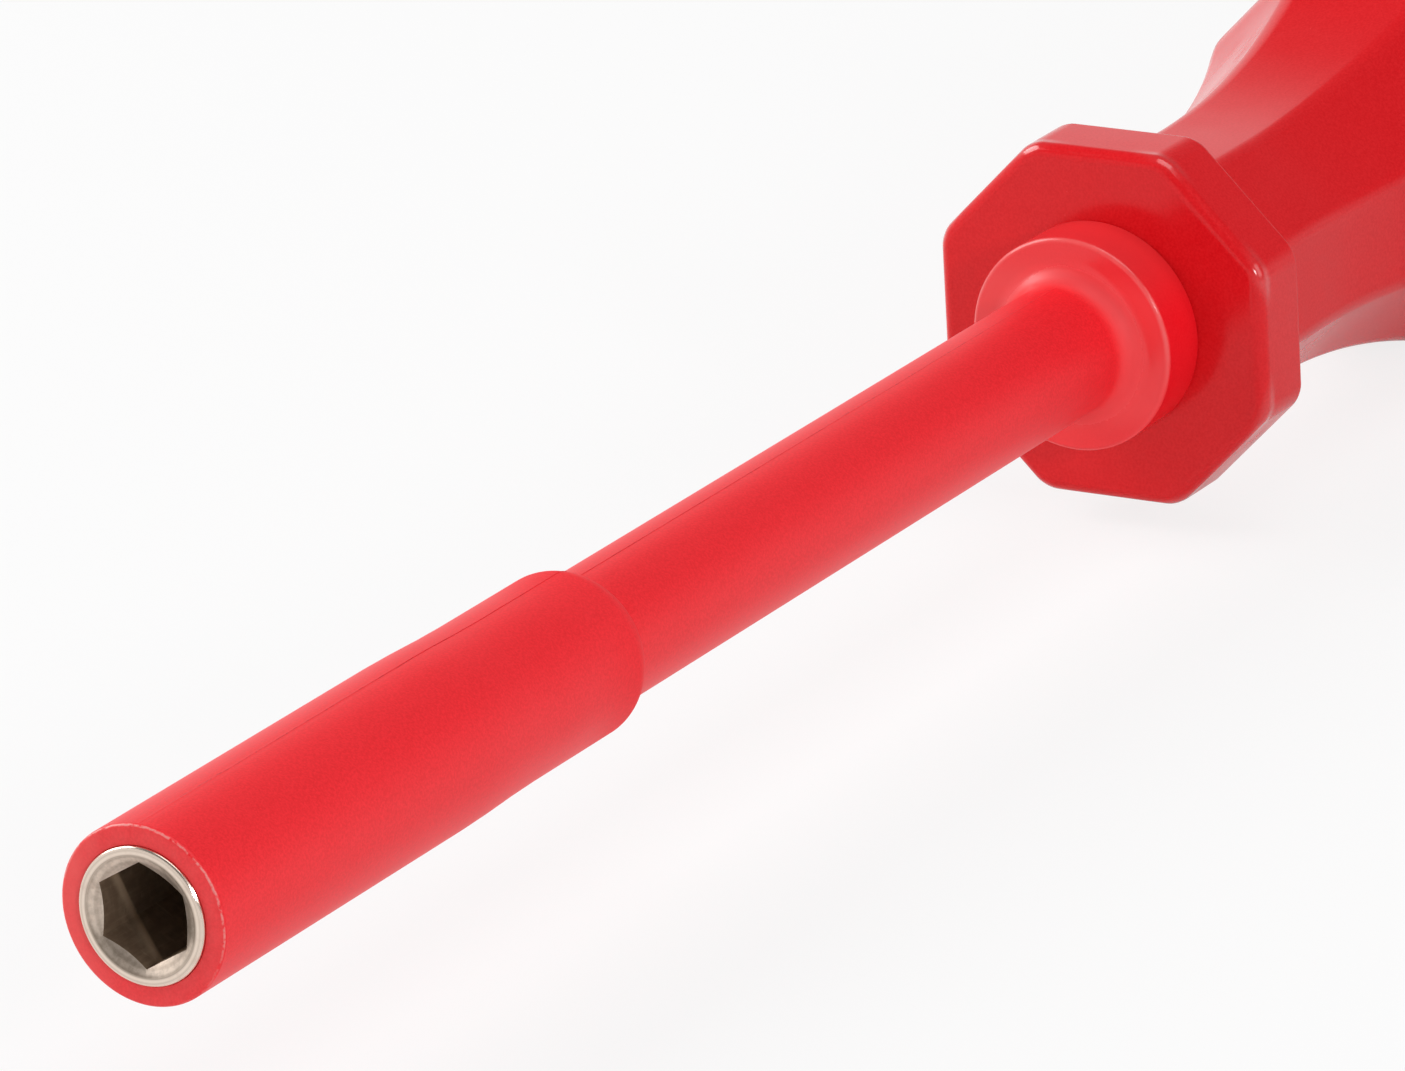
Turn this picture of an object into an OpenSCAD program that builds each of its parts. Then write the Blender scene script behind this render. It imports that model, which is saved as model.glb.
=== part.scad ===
// Insulated bit screwdriver: a hexagonal bit socket on a steel blade, covered by
// one moulded insulation and held in an octagonal handle with a guard.
// The tool's axis is X and the origin is the centre of the socket's mouth, with
// the handle towards +X. Stations are distances from the mouth, in millimetres.

/* [Bit socket] */
// Width across flats of the bit shank that the socket takes
bit_af = 6.35; // [6:0.05:6.5]
// Play between the bit shank and the socket, across flats
bit_play = 0.05; // [0.02:0.01:0.15]
// Depth of the socket, from its mouth to the magnet
bit_depth = 12.5; // [10:0.5:20]
// Diameter of the socket at its mouth
socket_d = 9.65; // [9.5:0.05:11]
// Diameter of the socket behind its taper
socket_rear_d = 9.24; // [8.8:0.02:9.4]
// Length of the socket
socket_len = 51.5; // [45:0.5:80]
// Radius of the socket's outer edge at the mouth
socket_edge_r = 0.25; // [0.1:0.05:0.4]
// Diameter of the lead-in cone at the mouth
lead_in_d = 8.4; // [7.6:0.1:8.8]
// Included angle of the lead-in cone
lead_in_angle = 120; // [90:5:140]

/* [Bit detent] */
// Diameter of the detent ball
ball_d = 1.2; // [1:0.05:1.3]
// How far the ball stands out of the socket's flat, which is also its travel
ball_reach = 0.3; // [0.2:0.05:0.35]
// Station of the ball
ball_station = 4.5; // [4:0.1:6]
// Clearance around the ball in its hole
ball_play = 0.04; // [0.03:0.01:0.08]
// Thickness of the lip that keeps the ball from falling in
lip_t = 0.08; // [0.05:0.01:0.1]
// How much the radius of the lip's hole is under the ball's
lip_grip = 0.02; // [0.01:0.01:0.03]
// Thickness of the band spring around the socket
spring_t = 0.2; // [0.1:0.05:0.25]
// Width of the band spring
spring_w = 3; // [2:0.1:4]
// Angle of the opening in the band spring
spring_opening = 60; // [30:5:90]
// Clearance under the band spring and at its sides
spring_play = 0.03; // [0.02:0.01:0.1]

/* [Magnet] */
// Diameter of the magnet
magnet_d = 5; // [4:0.1:5.5]
// Length of the magnet
magnet_len = 3; // [2:0.5:5]
// Thickness of the glue around the magnet
glue_t = 0.03; // [0.02:0.01:0.1]
// Wall of the bush behind the magnet
bush_wall = 1.5; // [1:0.1:3]

/* [Blade] */
// Diameter of the blade
blade_d = 7; // [6.6:0.1:7.3]
// Reach of the tool, from the socket's mouth to the handle
reach = 129.25; // [110:0.25:200]
// Depth of the tang in the handle
tang_depth = 72; // [60:1:90]
// Chamfer on both ends of the blade
blade_chamfer = 0.5; // [0.2:0.1:1]
// Width over the wings on the tang
wing_w = 11; // [9:0.5:13]
// Thickness of the wings
wing_t = 3; // [2:0.5:5]
// Length of each pair of wings
wing_len = 9; // [6:1:12]
// Distance from one pair of wings to the next
wing_gap = 8; // [4:1:12]

/* [Insulation] */
// Wall of the insulation over the steel
insulation_wall = 1.45; // [1.2:0.05:1.8]
// How far the socket stands out of the insulation
socket_proud = 0.25; // [0.1:0.05:0.5]
// Radius of the insulation's front edge
front_edge_r = 0.4; // [0.2:0.05:0.8]
// Station where the thick front part of the sleeve ends
front_end = 34.6; // [25:0.1:40]
// Length of the taper behind the thick front part
taper_len = 6.4; // [3:0.1:10]
// Wall of the insulation behind the socket
shoulder_wall = 3.3; // [2.5:0.1:5]
// Radius of the sleeve's rounded shoulder
shoulder_r = 2.5; // [1.5:0.1:4]
// Diameter of the collar in front of the handle
collar_d = 16.3; // [14:0.1:20]
// Length of the collar
collar_len = 4.65; // [4:0.05:8]
// Radius of the collar's front rim
collar_rim_r = 0.3; // [0.2:0.05:0.8]
// Radius of the fillet between the shaft and the collar
collar_fillet_r = 1.8; // [1:0.1:2.2]
// Length of the insulation inside the handle
spigot_len = 20; // [10:1:30]

/* [Handle] */
// Width across flats of the guard
guard_af = 26.9; // [22:0.1:34]
// Thickness of the guard
guard_t = 6; // [4:0.1:8]
// Radius of the guard's front and rear edges
guard_edge_r = 0.8; // [0.5:0.1:1.5]
// Width across flats of the neck behind the guard
neck_af = 19.2; // [18:0.1:22]
// Length of the straight neck
neck_len = 11.8; // [8:0.1:16]
// Radius of the hollow flare from the neck to the body
flare_r = 75; // [50:1:100]
// Width across flats of the body
body_af = 31; // [28:0.5:36]
// How much the body's corners are rounded off, from the sharp octagon
corner_drop = 0.3; // [0.1:0.05:0.6]
// Length of the handle, from the guard's front to the butt
handle_len = 112; // [100:1:140]
// Radius of the edge around the butt
butt_edge_r = 8; // [4:0.5:10]
// Radius of the domed butt
butt_dome_r = 60; // [40:1:100]

/* [Hidden] */
$fn = 256;
// Spare size of a cutting shape past the faces that it opens or clears
spare = 1;

// Socket and detent
hex_af = bit_af + bit_play;
hex_d = hex_af / cos(30);
lead_in_len = lead_in_d / 2 / tan(lead_in_angle / 2);
ball_centre = hex_af / 2 - ball_reach + ball_d / 2;
groove_d = 2 * (ball_centre + ball_d / 2);
groove_w = spring_w + 2 * spring_play;
spring_d = groove_d + 2 * spring_play;

// Magnet and blade
bush_len = magnet_len + bush_wall;
blade_start = bit_depth + bush_len;
tang_end = reach + tang_depth;

// Insulation
taper_end = front_end + taper_len;
sleeve_front_d = socket_d + 2 * insulation_wall;
sleeve_rear_d = socket_rear_d + 2 * insulation_wall;
shaft_d = blade_d + 2 * insulation_wall;
shoulder_end = socket_len + shoulder_wall;
shoulder_drop = (sleeve_rear_d - shaft_d) / 2;
shoulder_len = sqrt(pow(shoulder_r, 2) - pow(shoulder_r - shoulder_drop, 2));
collar_front = reach - collar_len;
spigot_end = reach + spigot_len;

// Handle
neck_end = guard_t + neck_len;
flare_rise = (body_af - neck_af) / 2;
flare_end = neck_end + sqrt(pow(flare_r, 2) - pow(flare_r - flare_rise, 2));
// The diameter over the rounded corners is a whole number of hundredths
corner_d = round(100 * (body_af / cos(22.5) - 2 * corner_drop)) / 100;

// Turns a shape that was made along Z, so that it lies along the tool's axis
module along_axis(station = 0) {
    translate([station, 0, 0])
        rotate([0, 90, 0])
            children();
}

// A round rod on the tool's axis
module rod(d, start, end) {
    along_axis(start)
        cylinder(d = d, h = end - start);
}

// Half of a disc's section, with its outer front edge rounded
module disc_section(d, start, end, edge_r) {
    translate([0, start])
        square([d / 2 - edge_r, end - start]);
    translate([0, start + edge_r])
        square([d / 2, end - start - edge_r]);
    translate([d / 2 - edge_r, start + edge_r])
        circle(r = edge_r);
}

// Half of the section of a sleeve that tapers from its front part to its rear part
module tapered_section(front_d, rear_d, end) {
    polygon([
        [0, front_end],
        [front_d / 2, front_end],
        [rear_d / 2, taper_end],
        [rear_d / 2, end],
        [0, end]
    ]);
}

// Half of the socket's outer section
module socket_section() {
    disc_section(socket_d, 0, front_end, socket_edge_r);
    tapered_section(socket_d, socket_rear_d, socket_len);
}

// Half of the section of the steel that the insulation covers
module covered_section() {
    square([socket_d / 2, front_end]);
    tapered_section(socket_d, socket_rear_d, socket_len);
    translate([0, front_end])
        square([blade_d / 2, spigot_end + spare - front_end]);
}

// Half of the insulation's section, before it is bored for the steel
module insulation_section() {
    disc_section(sleeve_front_d, socket_proud, front_end, front_edge_r);
    tapered_section(sleeve_front_d, sleeve_rear_d, shoulder_end - shoulder_len);

    // Rounded shoulder at the sleeve's rear
    intersection() {
        translate([sleeve_rear_d / 2 - shoulder_r, shoulder_end - shoulder_len])
            circle(r = shoulder_r);
        translate([0, shoulder_end - shoulder_len])
            square([sleeve_rear_d / 2, shoulder_len]);
    }

    // Shaft, its fillet and the collar
    translate([0, front_end])
        square([shaft_d / 2, spigot_end - front_end]);
    difference() {
        translate([0, collar_front - collar_fillet_r])
            square([shaft_d / 2 + collar_fillet_r, collar_fillet_r + collar_rim_r]);
        translate([shaft_d / 2 + collar_fillet_r, collar_front - collar_fillet_r])
            circle(r = collar_fillet_r);
    }
    disc_section(collar_d, collar_front, reach, collar_rim_r);
}

// One pair of wings, pressed out of the tang on both sides
module wing_pair(start) {
    translate([start, -wing_w / 2, -wing_t / 2])
        cube([wing_len, wing_w, wing_t]);
}

// Half of the blade's section, with both ends chamfered
module blade_section() {
    polygon([
        [0, blade_start],
        [blade_d / 2 - blade_chamfer, blade_start],
        [blade_d / 2, blade_start + blade_chamfer],
        [blade_d / 2, tang_end - blade_chamfer],
        [blade_d / 2 - blade_chamfer, tang_end],
        [0, tang_end]
    ]);
}

// Blade with its winged tang, which is also the shape of the handle's cavity
module blade_form() {
    along_axis()
        rotate_extrude()
            blade_section();
    for (pair = [1, 2])
        wing_pair(tang_end - pair * (wing_len + wing_gap));
}

// Octagonal block whose side view, across any two opposite flats, is the shape given
module octagonal() {
    intersection_for (turn = [0, 45, 90, 135])
        rotate([turn, 0, 0])
            linear_extrude(height = 2 * body_af, center = true)
                children();
}

// Side view of a straight stretch of the handle
module straight_side(af, start, end) {
    translate([start, -af / 2])
        square([end - start, af]);
}

// Side view of the guard, with its front and rear edges rounded
module guard_side() {
    straight_side(guard_af - 2 * guard_edge_r, 0, guard_t);
    straight_side(guard_af, guard_edge_r, guard_t - guard_edge_r);
    for (x = [guard_edge_r, guard_t - guard_edge_r], side = [-1, 1])
        translate([x, side * (guard_af / 2 - guard_edge_r)])
            circle(r = guard_edge_r);
}

// Half of the turned section that rounds the body's corners and its domed butt
module body_section() {
    intersection() {
        translate([0, handle_len])
            mirror([0, 1])
                disc_section(corner_d, 0, handle_len - neck_end, butt_edge_r);
        translate([0, handle_len - butt_dome_r])
            circle(r = butt_dome_r);
    }
}

// Body with rounded corners and butt, and a hollow flare cut into each of its flats
module body_form() {
    difference() {
        intersection() {
            octagonal()
                straight_side(body_af, neck_end, handle_len);
            along_axis()
                rotate_extrude()
                    body_section();
        }
        for (turn = [0 : 45 : 315])
            rotate([turn, 0, 0])
                translate([neck_end, 0, neck_af / 2 + flare_r])
                    rotate([90, 0, 0])
                        cylinder(r = flare_r, h = 2 * body_af, center = true);
    }
}

// Octagonal handle before it is hollowed, with its neck running on into the body
module handle_form() {
    octagonal()
        guard_side();
    octagonal()
        straight_side(neck_af, guard_edge_r, flare_end);
    body_form();
}

// Steel socket with a hexagonal mouth, a bored rear and the groove of the detent
module bit_socket() {
    color("lightgray")
    difference() {
        along_axis()
            rotate_extrude()
                socket_section();

        // Hexagon with two corners up and down, and its lead-in cone
        along_axis(-spare)
            cylinder(d = hex_d, h = bit_depth + spare, $fn = 6);
        along_axis()
            cylinder(d1 = lead_in_d, d2 = 0, h = lead_in_len);

        // Bore for the magnet's bush and the blade
        rod(blade_d, bit_depth, socket_len + spare);

        // Hole for the ball, with a lip at the flat
        translate([ball_station, -hex_af / 2 - lip_t, 0])
            rotate([90, 0, 0])
                cylinder(r = ball_d / 2 + ball_play, h = socket_d);
        translate([ball_station, 0, 0])
            rotate([90, 0, 0])
                cylinder(r = ball_d / 2 - lip_grip, h = socket_d / 2);

        // Groove for the band spring
        difference() {
            rod(socket_d + spare, ball_station - groove_w / 2, ball_station + groove_w / 2);
            rod(groove_d, ball_station - groove_w, ball_station + groove_w);
        }
    }
}

// Ball that holds the bit by a notch in its shank
module detent_ball() {
    color("silver")
    translate([ball_station, -ball_centre, 0])
        sphere(d = ball_d);
}

// Open band that presses the ball inwards
module detent_spring() {
    color("dimgray")
    difference() {
        rod(spring_d + 2 * spring_t, ball_station - spring_w / 2, ball_station + spring_w / 2);
        rod(spring_d, ball_station - spring_w, ball_station + spring_w);
        translate([ball_station - spring_w, 0, 0])
            rotate([90, 0, 90])
                linear_extrude(height = 2 * spring_w)
                    polygon([
                        [0, 0],
                        [socket_d, -socket_d * tan(spring_opening / 2)],
                        [socket_d, socket_d * tan(spring_opening / 2)]
                    ]);
    }
}

// Disc magnet at the bottom of the socket
module bit_magnet() {
    color("gray")
    rod(magnet_d, bit_depth, bit_depth + magnet_len);
}

// Cup that holds the magnet away from the socket's steel
module magnet_bush() {
    color("goldenrod")
    difference() {
        rod(blade_d, bit_depth, blade_start);
        rod(magnet_d + 2 * glue_t, bit_depth - spare, bit_depth + magnet_len);
    }
}

// Steel blade from the socket's bore to the end of the tang
module blade_shaft() {
    color("slategray")
    blade_form();
}

// One moulding over the socket and the blade, with the collar and the spigot
module shaft_insulation() {
    color("red")
    difference() {
        along_axis()
            rotate_extrude()
                insulation_section();
        along_axis()
            rotate_extrude()
                covered_section();
    }
}

// Octagonal handle with its guard, moulded around the spigot and the tang
module handle_body() {
    color("firebrick")
    difference() {
        translate([reach, 0, 0])
            handle_form();
        rod(shaft_d, reach - spare, spigot_end);
        blade_form();
    }
}

bit_socket();
detent_ball();
detent_spring();
bit_magnet();
magnet_bush();
blade_shaft();
shaft_insulation();
handle_body();
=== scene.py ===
"""Looks of an insulated bit screwdriver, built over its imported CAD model.

The tool's axis is X, the origin is the centre of the socket's mouth and the
handle is towards +X. Pieces are modelled in millimetres and end up in metres.
"""

import logging
import math
from dataclasses import dataclass
from enum import Enum
from functools import cached_property

import bmesh
import bpy
from mathutils import Matrix, Vector, noise


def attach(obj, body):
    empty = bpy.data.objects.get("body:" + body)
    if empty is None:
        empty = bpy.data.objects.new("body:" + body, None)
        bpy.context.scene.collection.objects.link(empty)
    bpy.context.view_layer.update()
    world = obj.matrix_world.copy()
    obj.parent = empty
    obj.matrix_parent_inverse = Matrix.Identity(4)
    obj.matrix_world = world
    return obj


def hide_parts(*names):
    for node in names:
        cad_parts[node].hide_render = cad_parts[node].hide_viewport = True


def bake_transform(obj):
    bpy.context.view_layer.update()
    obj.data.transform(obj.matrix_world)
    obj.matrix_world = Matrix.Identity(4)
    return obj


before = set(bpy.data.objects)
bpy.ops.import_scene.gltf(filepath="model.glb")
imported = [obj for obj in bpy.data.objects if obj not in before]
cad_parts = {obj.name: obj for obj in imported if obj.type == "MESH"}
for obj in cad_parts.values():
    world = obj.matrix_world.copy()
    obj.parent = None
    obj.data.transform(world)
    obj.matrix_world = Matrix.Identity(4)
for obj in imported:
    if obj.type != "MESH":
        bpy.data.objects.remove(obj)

log = logging.getLogger("screwdriver")

MM = 0.001
TOUCH_MM = 1e-4
TO_AXIS = Matrix.Rotation(math.pi / 2, 4, "Y")
AXIS = (1.0, 0.0, 0.0)
CENTRE = (0.0, 0.0, 0.0)

Colour = tuple[float, float, float]
Point = tuple[float, float, float]
Span = tuple[float, float]
Step = tuple[float, ...]
Edges = list[bmesh.types.BMEdge]


class Body(Enum):
    """CAD body that a piece rides on."""

    TOOL = "tool"
    BALL = "ball"


class Slot(Enum):
    """Material slot of the record that a piece takes its finish from."""

    SOCKET = "socket_steel"
    SPRING = "spring_steel"
    MAGNET = "magnet_plating"
    BUSH = "bush_brass"
    INSULATION = "insulation_plastic"
    HANDLE = "handle_plastic"


class Along(Enum):
    """What a ramp runs along."""

    X = "station along the axis"
    Y = "distance to the left"
    Z = "height above the axis"
    RISE = "distance above or below the axis"
    RADIUS = "distance from the axis"


X, Y, Z, RISE, RADIUS = Along


@dataclass(frozen=True)
class Ramp:
    """A smooth step along a direction, with its limits in millimetres and its values there."""

    along: Along
    start: float
    end: float
    low: float = 0.0
    high: float = 1.0


Zone = tuple[Ramp, ...]


@dataclass(frozen=True)
class Tone:
    """A colour that a zone of a piece takes on."""

    colour: Colour
    zone: Zone


@dataclass(frozen=True)
class Noise:
    """A noise pattern.

    Attributes:
        scale: Features to the metre.
        detail: Number of finer patterns in it.
        rough: Strength of each of them against the one before.
        stretch: Scales along the three axes.
        limits: A step over its values, if any.
    """

    scale: float
    detail: float = 2.0
    rough: float = 0.5
    stretch: Point | None = None
    limits: Step | None = None


class Wire:
    """An output of a node, with arithmetic that adds Math nodes."""

    def __init__(self, shader: "Shader", socket: bpy.types.NodeSocket | None) -> None:
        """Keeps the tree and the socket that the wire starts from."""
        self.shader = shader
        self.socket = socket

    def math(self, operation: str, *values: "Number") -> "Wire":
        """A Math node of this operation, with its operands in order."""
        return self.shader.node("ShaderNodeMath", dict(enumerate(values)), {"operation": operation})

    def __add__(self, other: "Number") -> "Wire":
        """The sum with another value."""
        return self.math("ADD", self, other)

    def __sub__(self, other: "Number") -> "Wire":
        """The difference from another value."""
        return self.math("SUBTRACT", self, other)

    def __mul__(self, other: "Number") -> "Wire":
        """The product with another value."""
        return self.math("MULTIPLY", self, other)

    def __pow__(self, other: "Number") -> "Wire":
        """This value to a power."""
        return self.math("POWER", self, other)

    def __abs__(self) -> "Wire":
        """This value without its sign."""
        return self.math("ABSOLUTE", self)

    def larger(self, other: "Number") -> "Wire":
        """The larger of two values."""
        return self.math("MAXIMUM", self, other)

    def swing(self, width: float) -> "Wire":
        """Noise around 0.5 as a swing of this width about 0."""
        return (self - 0.5) * width

    def output(self, name: str) -> "Wire":
        """Another output of the same node."""
        return Wire(self.shader, self.socket.node.outputs[name])


Number = float | Wire


class Shader:
    """The node tree of a material or of the world."""

    def __init__(self, tree: bpy.types.NodeTree) -> None:
        """Starts from an empty tree."""
        tree.nodes.clear()
        self.tree = tree

    def node(
        self,
        kind: str,
        inputs: dict | None = None,
        settings: dict | None = None,
        output: str | int = 0,
    ) -> Wire:
        """Adds a node.

        Args:
            kind: Blender's name of the node's type.
            inputs: A value or a wire for each socket, by name or place.
            settings: The node's own properties, set before its sockets.
            output: The output that the wire starts from.

        Returns:
            A wire from that output, or an empty one if the node has none.
        """
        made = self.tree.nodes.new(kind)
        for name, value in (settings or {}).items():
            setattr(made, name, value)
        for name, value in (inputs or {}).items():
            socket = made.inputs[name]
            if isinstance(value, Wire):
                self.tree.links.new(value.socket, socket)
            else:
                socket.default_value = (*value, 1.0) if socket.type == "RGBA" else value
        return Wire(self, made.outputs[output] if made.outputs else None)

    @cached_property
    def place(self) -> Wire:
        """The point that is shaded, in its piece's own coordinates."""
        return self.node("ShaderNodeTexCoord", output="Object")

    @cached_property
    def along(self) -> dict[Along, Wire]:
        """How far the point is along each direction, in metres."""
        x, y, z = self.parts(self.place)
        return {X: x, Y: y, Z: z, RISE: abs(z), RADIUS: (y * y + z * z) ** 0.5}

    def __getitem__(self, along: Along) -> Wire:
        """How far the point is along one direction."""
        return self.along[along]

    def parts(self, vector: Wire) -> tuple[Wire, Wire, Wire]:
        """The three numbers of a vector."""
        split = self.node("ShaderNodeSeparateXYZ", {0: vector})
        return split, split.output("Y"), split.output("Z")

    def fade(self, value: Wire, start: float, end: float, low: float = 0, high: float = 1) -> Wire:
        """One value up to a limit, another past the other limit and smooth between them."""
        inputs = {"Value": value, "From Min": start, "From Max": end, "To Min": low, "To Max": high}
        return self.node("ShaderNodeMapRange", inputs, {"interpolation_type": "SMOOTHSTEP"})

    def fade_mm(self, value: Wire, start: float, end: float, *values: float) -> Wire:
        """A fade whose limits are in millimetres."""
        return self.fade(value, start * MM, end * MM, *values)

    def zone(self, ramps: Zone) -> Wire:
        """How much of a zone there is at the point: the product of its ramps."""
        steps = [self.fade_mm(self[r.along], r.start, r.end, r.low, r.high) for r in ramps]
        return math.prod(steps[1:], start=steps[0])

    def noise(self, kind: Noise) -> Wire:
        """Adds a noise pattern.

        Args:
            kind: The pattern.

        Returns:
            Its value at the point.
        """
        place = self.place
        if kind.stretch:
            place = self.node("ShaderNodeMapping", {"Vector": place, "Scale": kind.stretch})
        inputs = {"Scale": kind.scale, "Detail": kind.detail, "Roughness": kind.rough}
        value = self.node("ShaderNodeTexNoise", {"Vector": place, **inputs})
        return self.fade(value, *kind.limits) if kind.limits else value

    def blend(self, share: Number, first: Colour | Wire, second: Colour | Wire) -> Wire:
        """A mix of two colours by the share of the second."""
        return self.node("ShaderNodeMix", {0: share, 6: first, 7: second}, {"data_type": "RGBA"}, 2)

    def bump(self, height: Wire, depth_mm: float) -> Wire:
        """Normals of a relief of this depth."""
        return self.node("ShaderNodeBump", {"Height": height, "Distance": depth_mm * MM})

    def principled(self, sockets: dict) -> Wire:
        """A Principled surface with these sockets set."""
        return self.node("ShaderNodeBsdfPrincipled", sockets)


@dataclass(frozen=True)
class Finish:
    """What all finishes share."""

    name: str

    def surface(self, shader: Shader) -> Wire:
        """The finish's shader, which each kind of finish makes in its own way."""
        raise NotImplementedError

    def material(self) -> bpy.types.Material:
        """Makes a material with this finish.

        Returns:
            The material.
        """
        made = bpy.data.materials.new(self.name)
        made.use_nodes = True
        shader = Shader(made.node_tree)
        shader.node("ShaderNodeOutputMaterial", {"Surface": self.surface(shader)})
        return made


@dataclass(frozen=True)
class MattePlastic(Finish):
    """Moulded insulation: finely grained, with a parting line, a front edge partly scuffed and
    partly painted with a highlight, and painted sheen, shade and highlight about the collar.
    """

    colour: Colour = (0.820, 0.001, 0.008)
    pale: Colour = (0.965, 0.017, 0.027)
    gloss: float = 0.46
    roughness: float = 0.44
    relief_mm: float = 0.012
    grain: Noise = Noise(5400, 3, 0.6)
    grain_limits: Span = (0.28, 0.72)
    grain_share: float = 0.85
    grain_rough: float = 0.12
    grain_relief: float = 0.15
    calm: Zone = (Ramp(X, 122.6, 124.6, 1.0, 0.4),)
    cloud: Noise = Noise(150)
    flow: Noise = Noise(1, 3, stretch=(16, 420, 420))
    flow_rough: float = 0.1
    flow_relief: float = 0.6
    broken: Noise = Noise(900, 3)
    dots: Noise = Noise(4200)
    seam: Tone = Tone((0.52, 0.004, 0.010), (Ramp(X, 3, 8), Ramp(X, 123, 119)))
    seam_wander: Noise = Noise(260)
    seam_swing_mm: float = 0.45
    seam_width_mm: Span = (0.08, 0.02)
    seam_dots: Span = (0.36, 0.60)
    seam_gaps: Step = (0.42, 0.66, 0.25, 1.0)
    seam_share: float = 0.75
    seam_relief: float = -0.5
    # Pale line along the sleeve's front edge: partly a real scuff, partly a painted highlight,
    # stronger towards the top.
    scuff_and_highlight: Tone = Tone((0.86, 0.30, 0.28), (Ramp(Z, -3.5, 0.5, 0.255, 0.85),))
    scuff_highlight_edge_mm: Span = (0.25, 6.275)
    scuff_highlight_wander: Noise = Noise(620, 4, 0.65)
    scuff_highlight_swing_mm: float = 0.5
    scuff_highlight_width_mm: Span = (0.17, 0.04)
    scuff_highlight_gaps: Span = (0.72, 1.10)
    # Pale sleeve front face: painted sheen, paler towards the left where the light falls, plus
    # random pale patches from noise.
    dull: Tone = Tone((0.985, 0.110, 0.105), (Ramp(X, 0.31, 0.26),))
    painted_sheen_side: Zone = (Ramp(Y, 1.5, 5.5, 0.06, 0.46),)
    dull_noise: float = 0.4
    # Painted sheen: the collar's fillet and front face are painted paler, brighter on the right
    # side and nearest the shaft.
    painted_face_sheen: tuple[Colour, Colour] = ((1.0, 0.060, 0.068), (0.858, 0.060, 0.064))
    face_sheen_side: Zone = (Ramp(Y, -5, 3),)
    face_sheen_zone: Zone = (Ramp(X, 122.1, 123.8), Ramp(X, 124.85, 124.65), Ramp(RISE, 4, 7, 0.9, 0.4))
    # Painted shade in the concave fillet between shaft and collar, deeper towards the top and the
    # right.
    painted_fillet_shade: Tone = Tone(
        (0.62, 0.020, 0.026),
        (Ramp(X, 122.8, 123.8), Ramp(X, 124.6, 124.1), Ramp(Y, 3.5, -1), Ramp(Z, 0, 5, 0.12, 0.42)),
    )
    # Painted shade: the collar's side is darkened towards its top, against the light from above.
    painted_collar_top_shade: Tone = Tone(
        (0.76, 0.038, 0.043),
        (Ramp(X, 124.6, 124.9), Ramp(Z, 2, 7.5, 0.0, 0.75)),
    )
    # Painted highlight along the collar's front rim, on its top and sides, in the scuff colour and
    # broken by noise.
    painted_rim_highlight: Zone = (
        Ramp(X, 124.56, 124.68), Ramp(X, 124.88, 124.76), Ramp(RADIUS, 7.7, 7.9), Ramp(Z, -4, 1.5),
    )
    rim_highlight_share: Span = (0.08, 0.3)
    shoulder_rough: Zone = (Ramp(X, 46, 53.5), Ramp(X, 55.1, 54.7, 0.0, 0.2))
    fillet_rough: Zone = (
        Ramp(X, 122.1, 123.8), Ramp(X, 124.6, 124.3), Ramp(Y, 0.5, 3, 0.112, -0.112),
    )
    rim_rough: Zone = (Ramp(X, 124.2, 124.6, 0.0, -0.24),)

    def surface(self, shader: Shader) -> Wire:
        """Makes red plastic with grain, flow lines, a dotted parting line, a front edge partly worn
        and partly a painted highlight, a front face with painted sheen, and painted sheen, shade
        and highlight on the collar.

        Args:
            shader: The material's tree.

        Returns:
            The surface.
        """
        kinds = (self.grain, self.cloud, self.flow, self.broken, self.dots)
        grain, cloud, flow, broken, dots = (shader.noise(kind) for kind in kinds)
        line = shader[Y] + shader.noise(self.seam_wander).swing(self.seam_swing_mm * MM)
        seam = shader.fade_mm(abs(line), *self.seam_width_mm) * shader.fade(dots, *self.seam_dots)
        seam = seam * shader.fade(broken, *self.seam_gaps) * shader.zone(self.seam.zone)
        # Front-edge line: scuff and painted highlight, broken by noise, strongest at the top.
        front, radius = self.scuff_highlight_edge_mm
        edge = (shader[X] - front * MM) + (shader[RADIUS] - radius * MM)
        edge = edge + shader.noise(self.scuff_highlight_wander).swing(self.scuff_highlight_swing_mm * MM)
        scuff_and_highlight = shader.fade_mm(abs(edge), *self.scuff_highlight_width_mm) * shader.zone(self.scuff_and_highlight.zone)
        scuff_and_highlight = scuff_and_highlight * shader.fade(dots + broken, *self.scuff_highlight_gaps)
        # Painted sheen on the front face, stronger on its left, with random patches.
        dull = shader.zone(self.painted_sheen_side) + broken * self.dull_noise
        dull = dull * shader.zone(self.dull.zone)
        # Painted highlight on the collar's rim.
        least, more = self.rim_highlight_share
        rim_highlight = shader.zone(self.painted_rim_highlight) * (broken * more + least)

        speck = shader.fade(grain, *self.grain_limits).swing(1.0) * shader.zone(self.calm) + 0.5
        share = speck * self.grain_share + cloud * (1 - self.grain_share)
        # Painted sheen colour for the collar's face, brighter on the right.
        painted_face_sheen = shader.blend(shader.zone(self.face_sheen_side), *self.painted_face_sheen)
        colour = shader.blend(share, self.colour, self.pale)
        # Tones over the base: painted sheen on the front face and collar face, painted shade in the
        # fillet and on the collar's top, painted highlight on the rim, the seam, and the front
        # edge's scuff with painted highlight.
        for amount, tint in (
            (dull, self.dull.colour),
            (shader.zone(self.face_sheen_zone), painted_face_sheen),
            (shader.zone(self.painted_fillet_shade.zone), self.painted_fillet_shade.colour),
            (shader.zone(self.painted_collar_top_shade.zone), self.painted_collar_top_shade.colour),
            (rim_highlight, self.scuff_and_highlight.colour),
            (seam * self.seam_share, self.seam.colour),
            (scuff_and_highlight, self.scuff_and_highlight.colour),
        ):
            colour = shader.blend(amount, colour, tint)

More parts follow.
